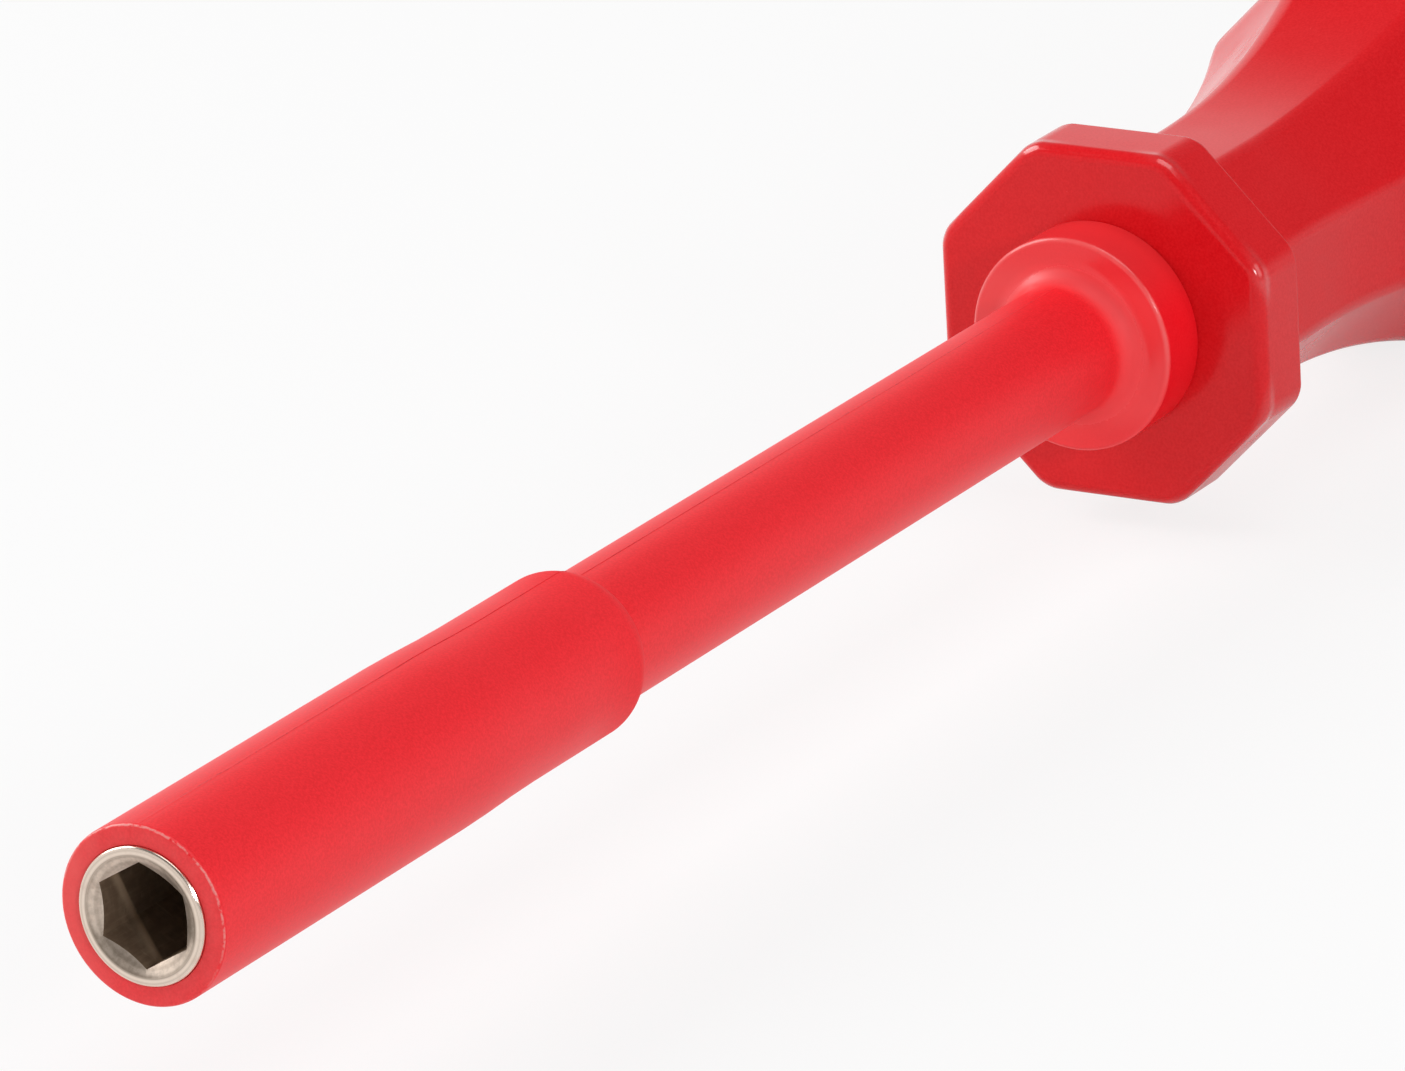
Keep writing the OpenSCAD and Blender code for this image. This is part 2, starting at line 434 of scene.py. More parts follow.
        rough = grain.swing(self.grain_rough) + flow.swing(self.flow_rough) + self.roughness
        for worn in (self.shoulder_rough, self.fillet_rough, self.rim_rough):
            rough = rough + shader.zone(worn)
        relief = grain * self.grain_relief + flow * self.flow_relief + cloud
        return shader.principled({
            "Base Color": colour,
            "Roughness": rough,
            "Specular IOR Level": self.gloss,
            "Normal": shader.bump(relief + seam * self.seam_relief, self.relief_mm),
        })


@dataclass(frozen=True)
class GlossPlastic(Finish):
    """Moulded handle: deep glossy red with faint waves, smudges, hair scratches and wear."""

    colour: Colour = (0.665, 0.002, 0.006)
    pale: Colour = (0.785, 0.014, 0.019)
    gloss: float = 0.30
    roughness: float = 0.155
    relief_mm: float = 0.010
    cloud: Noise = Noise(90)
    grain: Noise = Noise(5000, 3, 0.6)
    grain_limits: Span = (0.25, 0.75)
    grain_share: float = 0.7
    grain_rough: float = 0.06
    smudge: Noise = Noise(210, 4, 0.6, limits=(0.42, 0.72))
    smudge_rough: float = 0.08
    wave: Noise = Noise(330, 1)
    scratch: Noise = Noise(1, 1, stretch=(95, 2600, 2600), limits=(0.72, 0.80))
    scratch_rough: float = 0.06
    scratch_relief: float = -0.04
    corner: Zone = (Ramp(RADIUS, 13.6, 14.2), Ramp(X, 131.0, 130.3))
    corner_rough: float = -0.085
    coat_roughness: float = 0.2
    coat_ior: float = 1.6
    butt_centre_mm: Span = (233.25, 8.475)
    butt_reach_mm: Span = (7.5, 7.9)
    butt_start: Zone = (Ramp(X, 233.25, 234.05),)
    butt_end: Zone = (Ramp(X, 238.25, 239.25),)
    butt_rough: float = 0.3

    def surface(self, shader: Shader) -> Wire:
        """Makes red plastic, dull where the palm rubs the butt and polished at the guard's corners.

        Args:
            shader: The material's tree.

        Returns:
            The surface.
        """
        start, centre_r = self.butt_centre_mm
        along, out = shader[X] - start * MM, shader[RADIUS] - centre_r * MM
        reach = (along * along + out * out) ** 0.5
        palm = shader.fade_mm(reach, *self.butt_reach_mm) * shader.zone(self.butt_start)
        palm = palm.larger(shader.zone(self.butt_end))
        corner = shader.zone(self.corner)
        kinds = (self.cloud, self.grain, self.smudge, self.wave, self.scratch)
        cloud, grain, smudge, wave, scratch = (shader.noise(kind) for kind in kinds)
        speck = shader.fade(grain, *self.grain_limits)
        share = cloud * (1 - self.grain_share) + speck * self.grain_share
        rough = smudge * self.smudge_rough + scratch * self.scratch_rough + self.roughness
        rough = rough + grain.swing(self.grain_rough)
        rough = rough + palm * self.butt_rough + corner * self.corner_rough
        return shader.principled({
            "Base Color": shader.blend(share, self.colour, self.pale),
            "Roughness": rough,
            "Coat Weight": corner,
            "Coat Roughness": self.coat_roughness,
            "Coat IOR": self.coat_ior,
            "Specular IOR Level": self.gloss,
            "Normal": shader.bump(wave + scratch * self.scratch_relief, self.relief_mm),
        })


@dataclass(frozen=True)
class TurnedSteel(Finish):
    """Steel off a lathe, with fine lines around the axis and a soiled lead-in cone with painted
    shade on its lower left and right.
    """

    colour: Colour = (0.85, 0.72, 0.61)
    groove: Colour = (0.66, 0.545, 0.455)
    stained: Colour = (0.69, 0.54, 0.45)
    # Colour of the cone's soil, also used for its painted shade.
    soil_and_shade: Colour = (0.33, 0.265, 0.21)
    roughness: float = 0.36
    relief_mm: float = 0.003
    pitch_mm: float = 0.16
    line_lean: float = 1.3
    line_detail: float = 3.0
    line_limits: Span = (0.62, 0.32)
    line_rough: float = 0.12
    stain: Noise = Noise(900, 4, 0.6, limits=(0.48, 0.75))
    stain_share: float = 0.5
    stain_rough: float = 0.14
    grit: Noise = Noise(9000)
    grit_rough: float = 0.10
    grit_relief: float = 0.3
    cone: Zone = (Ramp(RADIUS, 4.22, 4.14),)
    cone_rough: float = 0.12
    soil_least: float = 0.20
    soil_mottle: Noise = Noise(2600, 4, 0.65, limits=(0.36, 0.66, 0.0, 0.2475))
    soil_lines: Step = (0.6, 0.4, 0.0, 0.165)
    # Painted shade on the lead-in cone: its right side and its lower left are darkened.
    painted_shade_right: Zone = (Ramp(Y, -0.8, -2.4), Ramp(Z, -1.8, -0.6, 0.0, 0.5))
    shade_low_left_way: Span = (0.55, -0.84)
    painted_shade_low_left: Step = (2.7, 3.7, 0.0, 0.45)
    soil_step: Zone = (Ramp(RADIUS, 4.17, 4.205), Ramp(RADIUS, 4.27, 4.235, 0.0, 0.5))
    edge_rough: Zone = (Ramp(RADIUS, 4.625, 4.765, 0.0, -0.16),)

    def surface(self, shader: Shader) -> Wire:
        """Makes metal with tool lines, faint stains, a mottled cone with painted shade on its lower
        left and right, and a polished outer edge.

        Args:
            shader: The material's tree.

        Returns:
            The surface.
        """
        across = shader[RADIUS] + shader[X] * self.line_lean
        inputs = {"W": across, "Scale": 1 / (self.pitch_mm * MM), "Detail": self.line_detail}
        lines = shader.node("ShaderNodeTexNoise", inputs, {"noise_dimensions": "1D"})
        stain, grit = shader.noise(self.stain), shader.noise(self.grit)
        cone = shader.zone(self.cone)
        # Soil on the cone from mottle and tool lines, plus painted shade on its lower left and
        # right.
        side, up = self.shade_low_left_way
        soil_and_shade = shader.noise(self.soil_mottle) + self.soil_least
        soil_and_shade = soil_and_shade + shader.fade(lines, *self.soil_lines)
        soil_and_shade = soil_and_shade + shader.fade_mm(shader[Y] * side + shader[Z] * up, *self.painted_shade_low_left)
        soil_and_shade = cone * (soil_and_shade + shader.zone(self.painted_shade_right)) + shader.zone(self.soil_step)
        colour = shader.blend(shader.fade(lines, *self.line_limits), self.colour, self.groove)
        colour = shader.blend(stain * self.stain_share, colour, self.stained)
        rough = lines.swing(self.line_rough) + grit.swing(self.grit_rough) + self.roughness
        rough = rough + stain * self.stain_rough + cone * self.cone_rough
        rough = rough + shader.zone(self.edge_rough)
        return shader.principled({
            "Base Color": shader.blend(soil_and_shade, colour, self.soil_and_shade),
            "Metallic": 1.0,
            "Roughness": rough,
            "Normal": shader.bump(lines + grit * self.grit_relief, self.relief_mm),
        })


@dataclass(frozen=True)
class BroachedSteel(Finish):
    """Dark steel of a broached hexagon, with drag lines along it and a band of painted light that
    ends at a painted shadow edge.
    """

    colour: Colour = (0.195, 0.125, 0.078)
    worn: Colour = (0.35, 0.255, 0.170)
    # Painted light in the bore: a bright band cut off by a painted shadow edge, a plane across the
    # walls.
    painted_light: Colour = (0.62, 0.45, 0.30)
    shadow_edge_way: Point = (1.0, -0.995, 0.53)
    shadow_edge_mm: float = 0.21
    lit_band_start: Span = (-1.1, -0.2)
    lit_band_stop: Step = (0.2, -0.1, 0.0, 0.7)
    roughness: float = 0.55
    metallic: float = 0.35
    relief_mm: float = 0.005
    drag: Noise = Noise(1, 4, 0.6, stretch=(300, 3600, 3600))
    drag_worn: Step = (0.45, 0.75, 0.0, 0.3)
    scratch: Noise = Noise(1, 3, stretch=(4200, 700, 700), limits=(0.60, 0.72))
    scratch_worn: float = 0.35
    scratch_rough: float = -0.1
    scratch_relief: float = 0.6
    patch: Noise = Noise(1300, 4, 0.6)
    patch_worn: Step = (0.4, 0.7, 0.0, 0.35)
    patch_rough: float = 0.15

    def surface(self, shader: Shader) -> Wire:
        """Makes dark metal with drag lines along the axis and a band painted bright as light
        falling into the bore, ending at a painted shadow edge.

        Args:
            shader: The material's tree.

        Returns:
            The surface.
        """
        # Painted light and shadow edge on the bore's walls.
        along, side, up = self.shadow_edge_way
        deep = shader[X] * along + shader[Y] * side + shader[Z] * up - self.shadow_edge_mm * MM
        painted_lit_band = shader.fade_mm(deep, *self.lit_band_start) * shader.fade_mm(deep, *self.lit_band_stop)
        kinds = (self.drag, self.scratch, self.patch)
        drag, scratch, patch = (shader.noise(kind) for kind in kinds)
        share = shader.fade(drag, *self.drag_worn) + scratch * self.scratch_worn
        share = share + shader.fade(patch, *self.patch_worn)
        colour = shader.blend(share, self.colour, self.worn)
        rough = patch.swing(self.patch_rough) + scratch * self.scratch_rough
        return shader.principled({
            "Base Color": shader.blend(painted_lit_band, colour, self.painted_light),
            "Metallic": self.metallic,
            "Roughness": rough + self.roughness,
            "Normal": shader.bump(drag + scratch * self.scratch_relief, self.relief_mm),
        })


@dataclass(frozen=True)
class PlatedMetal(Finish):
    """Plain metal with a fine brushed relief and dull patches."""

    colour: Colour = (0.60, 0.58, 0.55)
    dull: Colour = (0.42, 0.40, 0.38)
    roughness: float = 0.25
    grain: Point = (3000.0, 3000.0, 3000.0)
    grain_share: float = 0.4
    grain_rough: float = 0.12
    patch: Noise = Noise(500, 4, 0.6, limits=(0.40, 0.75))
    patch_share: float = 0.7
    patch_rough: float = 0.15
    relief_mm: float = 0.004

    def surface(self, shader: Shader) -> Wire:
        """Makes metal whose brightness and gloss vary in small patches.

        Args:
            shader: The material's tree.

        Returns:
            The surface.
        """
        brush, patch = shader.noise(Noise(1, 3, stretch=self.grain)), shader.noise(self.patch)
        share = patch * self.patch_share + brush.swing(self.grain_share)
        rough = patch * self.patch_rough + brush.swing(self.grain_rough)
        return shader.principled({
            "Base Color": shader.blend(share, self.colour, self.dull),
            "Metallic": 1.0,
            "Roughness": rough + self.roughness,
            "Normal": shader.bump(brush, self.relief_mm),
        })


@dataclass(frozen=True)
class StudioFloor(Finish):
    """Pale floor that looks white and still shows the object's shadow."""

    colour: Colour = (0.82, 0.82, 0.82)
    white: Colour = (1.0, 1.0, 1.0)
    white_share: float = 0.82
    # Painted light in reflections: the floor glows brighter on its left, standing for light there
    # and shade on its right.
    painted_reflection_glow: Zone = (Ramp(Y, -50, 50, 0.12, 0.60),)

    def surface(self, shader: Shader) -> Wire:
        """Makes pale paper, mostly white to the camera, and in reflections a painted glow, brighter
        on its left, that stands for light falling on the floor there.

        Args:
            shader: The material's tree.

        Returns:
            The surface.
        """
        path = shader.node("ShaderNodeLightPath", output="Is Camera Ray")
        mirrored = path.output("Is Glossy Ray").larger(path.output("Is Transmission Ray"))
        mirrored = mirrored * shader.zone(self.painted_reflection_glow)
        paper = shader.node("ShaderNodeBsdfDiffuse", {"Color": self.colour})
        white = shader.node("ShaderNodeEmission", {"Color": self.white, "Strength": 1.0})
        share = (path * self.white_share).larger(mirrored)
        return shader.node("ShaderNodeMixShader", {0: share, 1: paper, 2: white})


class Bevel(Enum):
    """What is rounded."""

    CORNERS = "VERTICES"
    EDGES = "EDGES"


@dataclass(frozen=True)
class Corner:
    """A corner of a turned section: its station, its radius, and its rounding's reach and steps."""

    x: float
    r: float
    cut: float = 0.0
    segments: int = 5


class Workpiece:
    """A mesh that is being modelled, in millimetres."""

    def __init__(self) -> None:
        """Starts from an empty mesh."""
        self.bm = bmesh.new()

    def section(self, corners: list[Corner]) -> Edges:
        """Draws a closed section above the axis and rounds its corners.

        Args:
            corners: The section's corners in order.

        Returns:
            The edges around the section.
        """
        verts = [self.bm.verts.new((c.x, 0.0, c.r)) for c in corners]
        self.bm.faces.new(verts)
        for vert, corner in zip(verts, corners):
            if corner.cut:
                self.round([vert], corner.cut, corner.segments, Bevel.CORNERS)
        bmesh.ops.delete(self.bm, geom=self.bm.faces[:], context="FACES_ONLY")
        return self.bm.edges[:]

    def turn(self, edges: Edges, angle: float, steps: int, whole: bool = False) -> Edges:
        """Spins edges about the tool's axis.

        Args:
            edges: What is spun.
            angle: How far, in radians.
            steps: In how many steps.
            whole: Whether the spin closes on its own start.

        Returns:
            The edges at the spin's end.
        """
        verts = list({v for e in edges for v in e.verts})
        spun = bmesh.ops.spin(
            self.bm, geom=verts + list(edges), cent=CENTRE, axis=AXIS,
            angle=angle, steps=steps, use_merge=whole,
        )
        return [g for g in spun["geom_last"] if isinstance(g, bmesh.types.BMEdge)]

    def turned(self, corners: list[Corner], steps: int) -> "Workpiece":
        """This piece, turned all round from a section in some steps."""
        self.turn(self.section(corners), math.tau, steps, True)
        return self

    def extend(self, loop: Edges, shift: float, scale: float = 1.0) -> Edges:
        """Extrudes a loop along the axis and scales its end about the axis.

        Args:
            loop: Edges of the loop.
            shift: How far along the axis.
            scale: Size of the new loop against the old one.

        Returns:
            Edges of the new loop.
        """
        made = bmesh.ops.extrude_edge_only(self.bm, edges=loop)["geom"]
        verts = [g for g in made if isinstance(g, bmesh.types.BMVert)]
        bmesh.ops.translate(self.bm, verts=verts, vec=(shift, 0.0, 0.0))
        bmesh.ops.scale(self.bm, verts=verts, vec=(1.0, scale, scale))
        new = set(verts)
        return [g for g in made if isinstance(g, bmesh.types.BMEdge) and set(g.verts) <= new]

    def round(self, geom: list, cut: float, segments: int = 4, kind: Bevel = Bevel.EDGES) -> None:
        """Rounds corners or edges of the mesh in some steps, from a distance along both sides."""
        bmesh.ops.bevel(
            self.bm, geom=geom, offset=cut, offset_type="OFFSET", segments=segments,
            profile=0.5, affect=kind.value, clamp_overlap=True, material=-1,
        )

    def mesh(self, name: str) -> bpy.types.Mesh:
        """Closes the work: merges doubles, turns faces outwards and scales to metres.

        Args:
            name: The mesh's name.

        Returns:
            The mesh, in metres.
        """
        bmesh.ops.remove_doubles(self.bm, verts=self.bm.verts[:], dist=TOUCH_MM)
        bmesh.ops.dissolve_degenerate(self.bm, edges=self.bm.edges[:], dist=TOUCH_MM / 10)
        bmesh.ops.recalc_face_normals(self.bm, faces=self.bm.faces[:])
        bmesh.ops.scale(self.bm, verts=self.bm.verts[:], vec=(MM, MM, MM))
        made = bpy.data.meshes.new(name)
        self.bm.to_mesh(made)
        self.bm.free()
        return made


def show(mesh: bpy.types.Mesh, finishes: list[Finish], crease_deg: float = 30) -> bpy.types.Object:
    """Puts a finished mesh in the scene with smooth shading.

    Args:
        mesh: The mesh, in place.
        finishes: Its finishes in the order of its faces' numbers.
        crease_deg: The angle past which an edge stays sharp.

    Returns:
        The object, at the origin.
    """
    for finish in finishes:
        mesh.materials.append(finish.material())
    mesh.shade_smooth()
    mesh.set_sharp_from_angle(angle=math.radians(crease_deg))
    made = bpy.data.objects.new(mesh.name, mesh)
    bpy.context.scene.collection.objects.link(made)
    weigh = made.modifiers.new("flat_faces_first", "WEIGHTED_NORMAL")
    weigh.keep_sharp = True
    return made


def fit(piece: bpy.types.Object, body: Body, node: str) -> None:
    """Lets a piece ride on a body and stand for a CAD node, whose part is hidden.

    Args:
        piece: The piece.
        body: What it rides on.
        node: The name of the CAD node.
    """
    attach(piece, body.value)
    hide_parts(node)
    log.info("%s: %d faces, on %s", piece.name, len(piece.data.polygons), body.value)


@dataclass
class BitSocket:
    """Steel socket: a turned body with a hexagon broached into it."""

    hex_af: float = 6.4
    depth: float = 12.5
    length: float = 51.5
    mouth_r: float = 4.825
    rear_r: float = 4.62
    taper_start: float = 34.6
    taper_end: float = 41.0
    lead_in_r: float = 4.2
    lead_in_deg: float = 60.0
    bore_r: float = 3.5
    groove: Point = (2.97, 6.03, 4.1)
    ball_station: float = 4.5
    ball_hole_r: float = 0.64
    hole_overrun: float = 0.4
    hole_steps: int = 32
    broach_overrun: float = 1.0
    bore_start: float = 0.2
    bore_margin: Span = (0.05, 0.1)
    bore_lean: float = 0.5
    edge: float = 0.25
    lead_in_edge: float = 0.05
    deburr: float = 0.035
    crease_deg: float = 28.0
    knock_side: Point = (-0.628, -0.688, 0.362)
    knock_at: float = 3.620
    steps: int = 180

    @property
    def hex_r(self) -> float:
        """Radius of the hexagon's corners."""
        return self.hex_af / 2 / math.cos(math.pi / 6)

    def turned_body(self) -> Workpiece:
        """Turns the socket, with its lead-in cone run to the axis, and knocks its rim once.

        Returns:
            The socket without its hexagon.
        """
        cone_end = self.lead_in_r / math.tan(math.radians(self.lead_in_deg))
        front, rear, floor_r = self.groove
        work = Workpiece().turned([
            Corner(cone_end, 0.0),
            Corner(0.0, self.lead_in_r, self.lead_in_edge, 2),
            Corner(0.0, self.mouth_r, self.edge, 8),
            Corner(front, self.mouth_r),
            Corner(front, floor_r),
            Corner(rear, floor_r),
            Corner(rear, self.mouth_r),
            Corner(self.taper_start, self.mouth_r),
            Corner(self.taper_end, self.rear_r),
            Corner(self.length, self.rear_r),
            Corner(self.length, self.bore_r),
            Corner(self.depth, self.bore_r),
            Corner(self.depth, 0.0),
        ], self.steps)
        side = Vector(self.knock_side).normalized()
        for vert in work.bm.verts:
            vert.co -= side * max(0.0, vert.co.dot(side) - self.knock_at)
        return work

    def cutter(self) -> Workpiece:
        """Makes the hexagon and the hole for the detent ball.

        Returns:
            Both, as solids to cut away.
        """
        work = Workpiece()
        turn = TO_AXIS @ Matrix.Rotation(math.pi / 2, 4, "Z")
        middle = Matrix.Translation(((self.depth - self.broach_overrun) / 2, 0.0, 0.0))
        bmesh.ops.create_cone(
            work.bm, cap_ends=True, segments=6, radius1=self.hex_r, radius2=self.hex_r,
            depth=self.depth + self.broach_overrun, matrix=middle @ turn,
        )
        across = Matrix.Rotation(math.pi / 2, 4, "X")
        across = across @ Matrix.Rotation(math.pi / self.hole_steps, 4, "Z")
        hole = Matrix.Translation((self.ball_station, -self.mouth_r, 0.0)) @ across
        bmesh.ops.create_cone(
            work.bm, cap_ends=True, segments=self.hole_steps, radius1=self.ball_hole_r,
            radius2=self.ball_hole_r, depth=2 * self.mouth_r - self.hex_af + self.hole_overrun,
            matrix=hole,
        )
        return work

    def build(self) -> None:
        """Cuts the hexagon out of the turned body, deburrs it and dresses it."""
        body = bpy.data.objects.new("socket_blank", self.turned_body().mesh("socket_blank"))
        knife = bpy.data.objects.new("hexagon_broach", self.cutter().mesh("hexagon_broach"))
        for part in (body, knife):
            bpy.context.scene.collection.objects.link(part)
        cut = body.modifiers.new("broach", "BOOLEAN")
        cut.object, cut.operation, cut.solver = knife, "DIFFERENCE", "EXACT"
        edge = body.modifiers.new("deburr", "BEVEL")
        edge.width, edge.segments, edge.limit_method = self.deburr * MM, 2, "ANGLE"
        edge.angle_limit, edge.profile = math.radians(self.crease_deg), 0.5
        bpy.context.view_layer.update()
        ready = body.evaluated_get(bpy.context.evaluated_depsgraph_get())
        mesh = bpy.data.meshes.new_from_object(ready)
        for part in (body, knife):
            bpy.data.objects.remove(part)
        mesh.name = "bit_socket_steel"
        mesh.materials.clear()
        around, beyond = self.bore_margin
        for face in mesh.polygons:
            x, y, z = face.center / MM
            inside = math.hypot(y, z) < self.hex_r + around and abs(face.normal.x) < self.bore_lean
            inside = inside and self.bore_start < x < self.depth + beyond
            face.material_index = 1 if inside else 0
        finishes = [TurnedSteel("turned_steel"), BroachedSteel("broached_bore")]
        piece = show(mesh, finishes, self.crease_deg)
        fit(piece, Body.TOOL, "bit_socket")


@dataclass
class Retention:
    """Magnet in its brass bush, the band spring, and the steel parts that stay as CAD made them."""

    magnet_r: float = 2.5
    magnet_len: float = 3.0
    start: float = 12.5
    bush_r: float = 3.5
    bush_bore_r: float = 2.53
    bush_len: float = 4.5
    spring_r: Span = (4.13, 4.33)
    spring_ends: Span = (3.0, 6.0)
    spring_opening_deg: float = 60.0
    spring_bend_y: Span = (-0.5, -4.0)
    edge: float = 0.2
    lip_edge: float = 0.08
    bush_edge: float = 0.15
    spring_edge: float = 0.06
    steps: int = 96
    plating: Finish = PlatedMetal("nickel_plating", (0.62, 0.58, 0.52), (0.36, 0.33, 0.29), 0.22)
    brass: Finish = PlatedMetal(
        "bush_brass", (0.70, 0.47, 0.20), (0.42, 0.26, 0.11), 0.3, (4000.0, 900.0, 900.0)
    )
    band_steel: Finish = PlatedMetal("spring_steel", (0.30, 0.31, 0.34), (0.20, 0.20, 0.23), 0.3)
    ball_steel: Finish = PlatedMetal("ball_steel", (0.66, 0.65, 0.64), (0.55, 0.54, 0.53), 0.12)
    blade_steel: Finish = PlatedMetal(
        "blade_steel", (0.55, 0.54, 0.52), (0.38, 0.37, 0.36), 0.3, (150.0, 4000.0, 4000.0)
    )

    def magnet(self) -> None:
        """Makes the disc magnet with rounded edges."""
        end = self.start + self.magnet_len
        work = Workpiece().turned([
            Corner(self.start, 0.0),
            Corner(self.start, self.magnet_r, self.edge, 4),
            Corner(end, self.magnet_r, self.edge, 4),
            Corner(end, 0.0),
        ], self.steps)
        piece = show(work.mesh("bit_magnet_disc"), [self.plating])
        fit(piece, Body.TOOL, "bit_magnet")

    def bush(self) -> None:
        """Makes the cup around the magnet, with a chamfered lip."""
        end, floor = self.start + self.bush_len, self.start + self.magnet_len
        work = Workpiece().turned([
            Corner(self.start, self.bush_bore_r, self.lip_edge, 2),
            Corner(self.start, self.bush_r, self.bush_edge, 3),
            Corner(end, self.bush_r, self.bush_edge, 3),
            Corner(end, 0.0),
            Corner(floor, 0.0),
            Corner(floor, self.bush_bore_r),
        ], self.steps)
        piece = show(work.mesh("magnet_bush_cup"), [self.brass])
        fit(piece, Body.TOOL, "magnet_bush")

    def spring(self) -> None:
        """Makes the open band around the socket, which the ball presses on."""
        work = Workpiece()
        (inner, outer), (front, rear) = self.spring_r, self.spring_ends
        around = ((front, inner), (front, outer), (rear, outer), (rear, inner))
        start = work.section([Corner(x, r, self.spring_edge, 3) for x, r in around])
        opening = math.radians(self.spring_opening_deg)
        to_edge = Matrix.Rotation((opening - math.pi) / 2, 3, "X")
        bmesh.ops.rotate(work.bm, cent=CENTRE, matrix=to_edge, verts=work.bm.verts[:])
        end = work.turn(start, math.tau - opening, self.steps)
        for loop in (start, end):
            bmesh.ops.edgeloop_fill(work.bm, edges=loop)
        piece = show(work.mesh("detent_spring_band"), [self.band_steel])
        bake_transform(piece)
        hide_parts("detent_spring")
        log.info("%s: %d faces, bends with the ball", piece.name, len(piece.data.polygons))

    def dress_cad(self) -> None:
        """Gives the ball and the hidden blade their metals."""
        for node, finish in (("detent_ball", self.ball_steel), ("blade_shaft", self.blade_steel)):
            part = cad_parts[node]
            part.data.materials.clear()
            part.data.materials.append(finish.material())
            log.info("%s: dressed in %s", node, finish.name)

    def build(self) -> None:
        """Makes the magnet, its bush and the spring and dresses the rest."""
        self.magnet()
        self.bush()
        self.spring()
        self.dress_cad()


@dataclass
class Insulation:
    """One moulding: sleeve over the socket, shaft over the blade, collar and hidden spigot."""

    front: float = 0.25
    sleeve_r: float = 6.275
    sleeve_rear_r: float = 6.07
    bore_r: float = 4.835
    bore_rear_r: float = 4.62
    taper_start: float = 34.6
    taper_end: float = 41.0
    socket_end: float = 51.5
    shoulder_end: float = 54.8
    shoulder_radius: float = 2.5
    shaft_r: float = 4.95
    blade_r: float = 3.5
    collar_front: float = 124.6
    collar_end: float = 129.25
    collar_r: float = 8.15
    rim_round: float = 0.38
    fillet: float = 1.7
    spigot_end: float = 149.25
    bore_edge: float = 0.06
    front_round: float = 0.28
    taper_soft: float = 1.5
    shoulder_share: float = 0.98
    shoulder_root: float = 0.02
    collar_rear_round: float = 0.2
    spigot_edge: float = 0.4
    flash_flank_deg: float = 0.4
    flash_gaps: Span = (0.3, 2.0)
    flash_height: float = 0.035
    crumb_height: float = 0.07
    crumb_span_deg: float = 24.0
    crumb_reach: Span = (0.35, 0.3)
    crumb_scale: Point = (4.0, 3.1, 2.7)
    skin: Span = (0.01, 0.1)
    crease_deg: float = 26.0
    half_steps: int = 128

    def outline(self) -> list[Corner]:
        """Lists the corners of the moulding's section.

        Returns:
            The corners, from the front edge round to the bore.
        """
        drop = self.sleeve_rear_r - self.shaft_r
        sweep = math.acos(1 - drop / self.shoulder_radius)
        reach = self.shoulder_radius * math.tan(sweep / 2)
        shoulder = self.shoulder_end - self.shoulder_radius * math.sin(sweep) + reach
        return [
            Corner(self.front, self.bore_r, self.bore_edge, 2),
            Corner(self.front, self.sleeve_r, self.front_round, 7),
            Corner(self.taper_start, self.sleeve_r, self.taper_soft, 4),
            Corner(self.taper_end, self.sleeve_rear_r, self.taper_soft, 4),
            Corner(shoulder, self.sleeve_rear_r, self.shoulder_share * reach, 12),
            Corner(self.shoulder_end, self.shaft_r, self.shoulder_root, 1),
            Corner(self.collar_front, self.shaft_r, self.fillet, 9),
            Corner(self.collar_front, self.collar_r, self.rim_round, 6),
            Corner(self.collar_end, self.collar_r, self.collar_rear_round, 4),
            Corner(self.collar_end, self.shaft_r),
            Corner(self.spigot_end, self.shaft_r, self.spigot_edge, 3),
            Corner(self.spigot_end, self.blade_r),
            Corner(self.socket_end, self.blade_r),
            Corner(self.socket_end, self.bore_rear_r),
            Corner(self.taper_end, self.bore_rear_r),
            Corner(self.taper_start, self.bore_r),
        ]

    def raise_flash(self, work: Workpiece) -> None:
        """Lifts the parting line into a fine ridge, with crumbs of flash at the front edge.

        Args:
            work: The mesh.
        """
        under, behind = self.skin
        first, last = self.flash_gaps
        along, inwards = self.crumb_reach
        for vert in work.bm.verts:
            x, y, z = vert.co
            radius = math.hypot(y, z)
            if radius < self.shaft_r - under or x > self.collar_end - behind:
                continue
            push = 0.0
            if abs(y) < TOUCH_MM and self.front + first < x < self.collar_front - last:
                push = self.flash_height
            lean = math.degrees(math.atan2(abs(y), z))
            at_edge = x < self.front + along and radius > self.sleeve_r - inwards
            if at_edge and lean < self.crumb_span_deg:
                grit = noise.noise(Vector(self.crumb_scale) * vert.co)
                push += self.crumb_height * max(0.0, grit) * (1 - lean / self.crumb_span_deg)
            vert.co = Vector((x, y * (1 + push / radius), z * (1 + push / radius)))

    def build(self) -> None:
        """Spins one half between the parting lines, mirrors it and dresses it."""
        work = Workpiece()
        flank = math.radians(self.flash_flank_deg)
        ring = work.section(self.outline())
        for angle, steps in ((flank, 1), (math.pi - 2 * flank, self.half_steps), (flank, 1)):
            ring = work.turn(ring, angle, steps)
        self.raise_flash(work)
        geom = work.bm.verts[:] + work.bm.edges[:] + work.bm.faces[:]
        whole = Matrix.Identity(4)
        bmesh.ops.mirror(work.bm, geom=geom, matrix=whole, merge_dist=TOUCH_MM, axis="Y")
        mesh = work.mesh("insulation_sleeve")
        piece = show(mesh, [MattePlastic("insulation_red")], self.crease_deg)
        fit(piece, Body.TOOL, "shaft_insulation")


